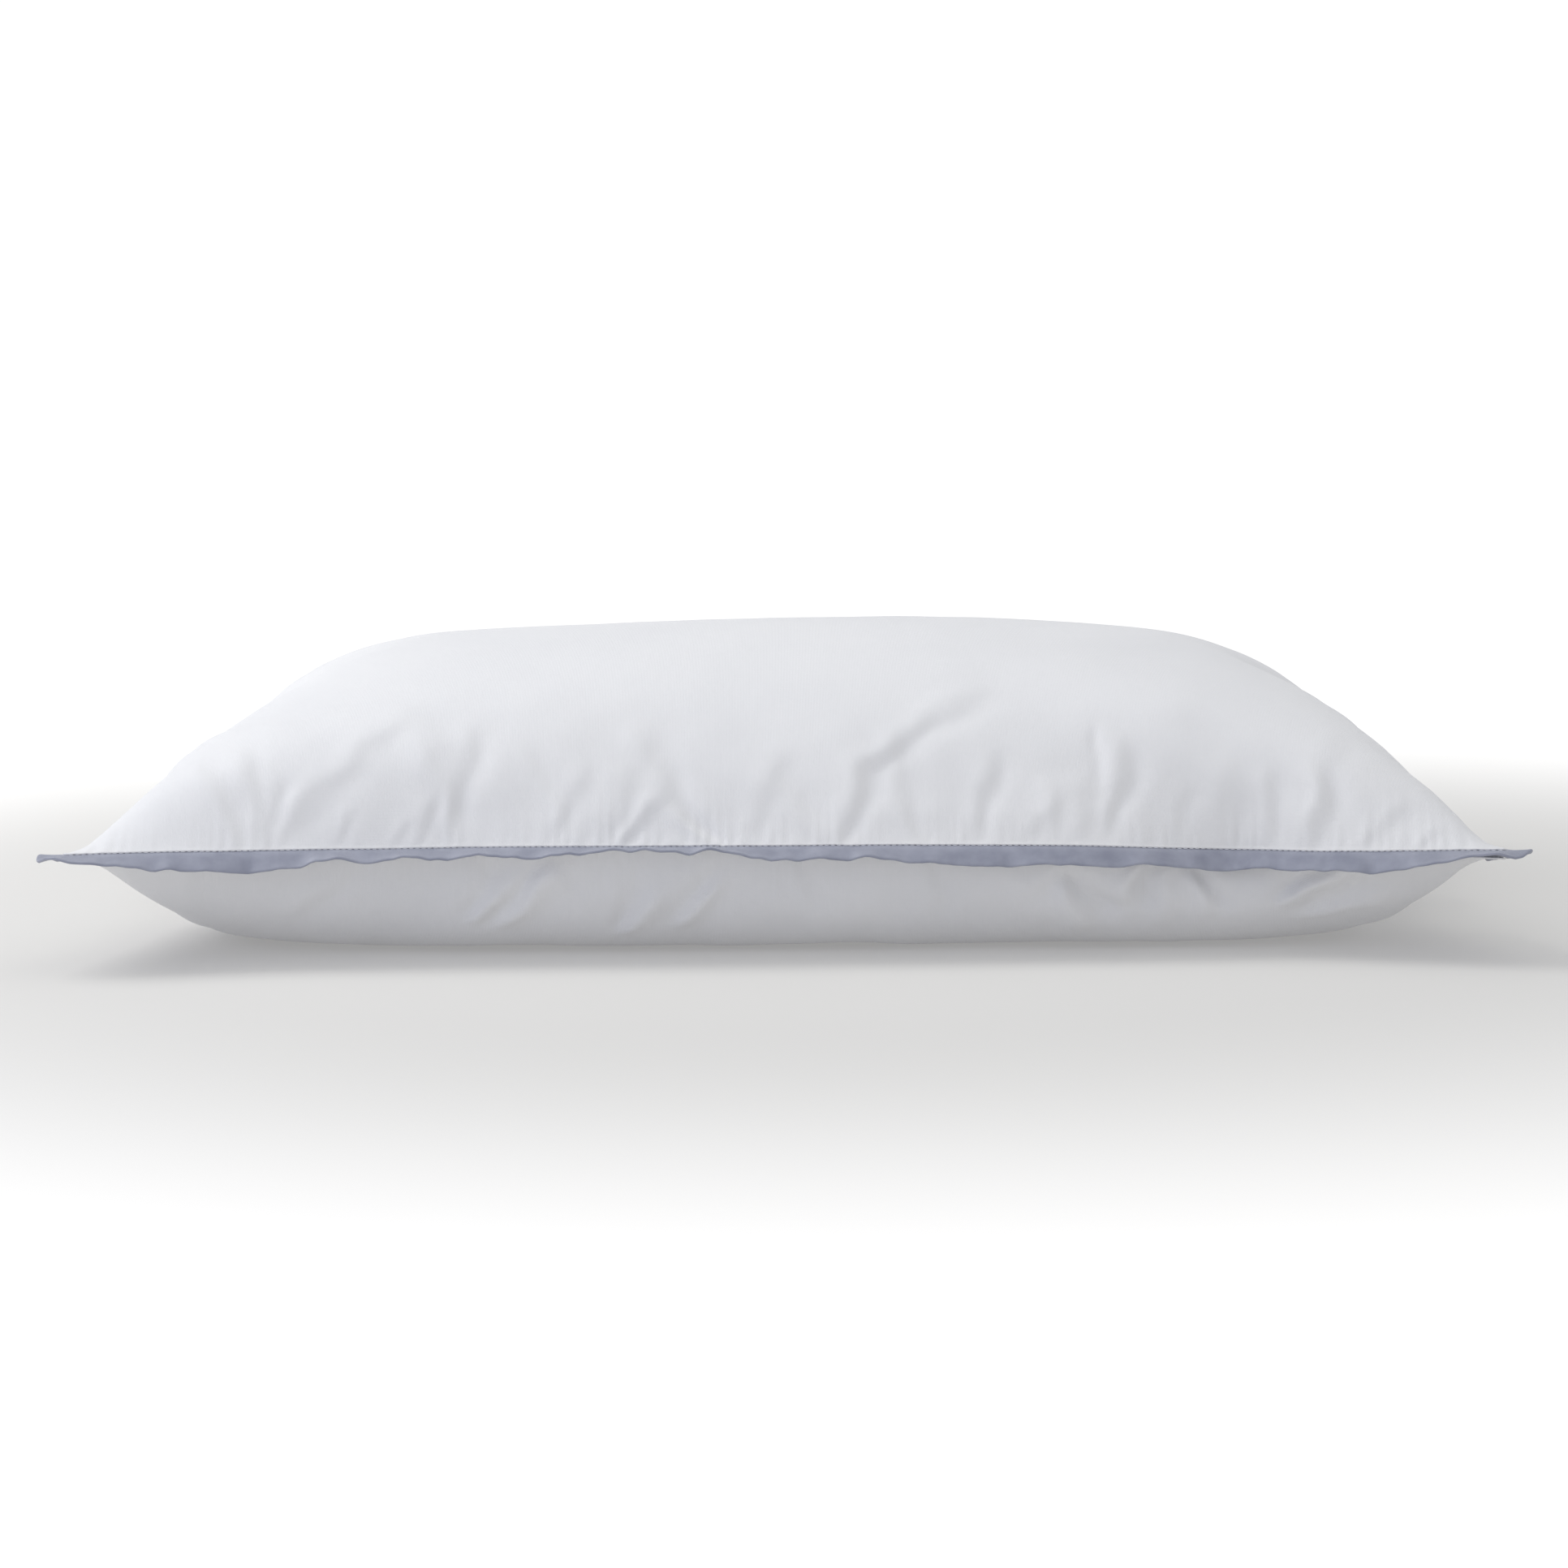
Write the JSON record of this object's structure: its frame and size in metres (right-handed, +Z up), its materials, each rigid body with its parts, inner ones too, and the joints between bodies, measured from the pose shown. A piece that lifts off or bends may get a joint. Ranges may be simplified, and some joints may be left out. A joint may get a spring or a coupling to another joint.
{
  "type": "bed pillow",
  "caption": "Plump rectangular bed pillow in smooth cotton ticking, with a flat satin flange round its seam.",
  "frame": {"origin": "middle of the flat patch that the pillow lies on, at the bottom of its box", "axes": "+X along the pillow's length, +Y from the front long side to the back long side, +Z up through its thickness"},
  "size_m": [0.7488, 0.5106, 0.158],
  "materials": {
    "outer_cotton": "smooth white cotton ticking with a fine plain weave and a faint sheen",
    "inner_cotton": "unbleached white down-proof cotton, matte",
    "satin": "blue-grey satin, soft sheen",
    "down": "loose white down clusters, matte",
    "feather": "packed small feathers, matte",
    "cotton_thread": "twisted sewing thread",
    "label_tape": "blank woven tape"
  },
  "bodies": {
    "root": {"upper_ticking": "outer_cotton", "lower_ticking": "outer_cotton", "satin_flange": "satin", "upper_down_fill": "down", "lower_down_fill": "down", "inner_ticking_upper": "inner_cotton", "inner_ticking_lower": "inner_cotton", "feather_core": "feather", "seam_needle_thread": "cotton_thread", "seam_bobbin_thread": "cotton_thread", "inner_seam_thread": "cotton_thread", "closing_seam_thread": "cotton_thread", "care_label": "label_tape"}
  },
  "joints": []
}
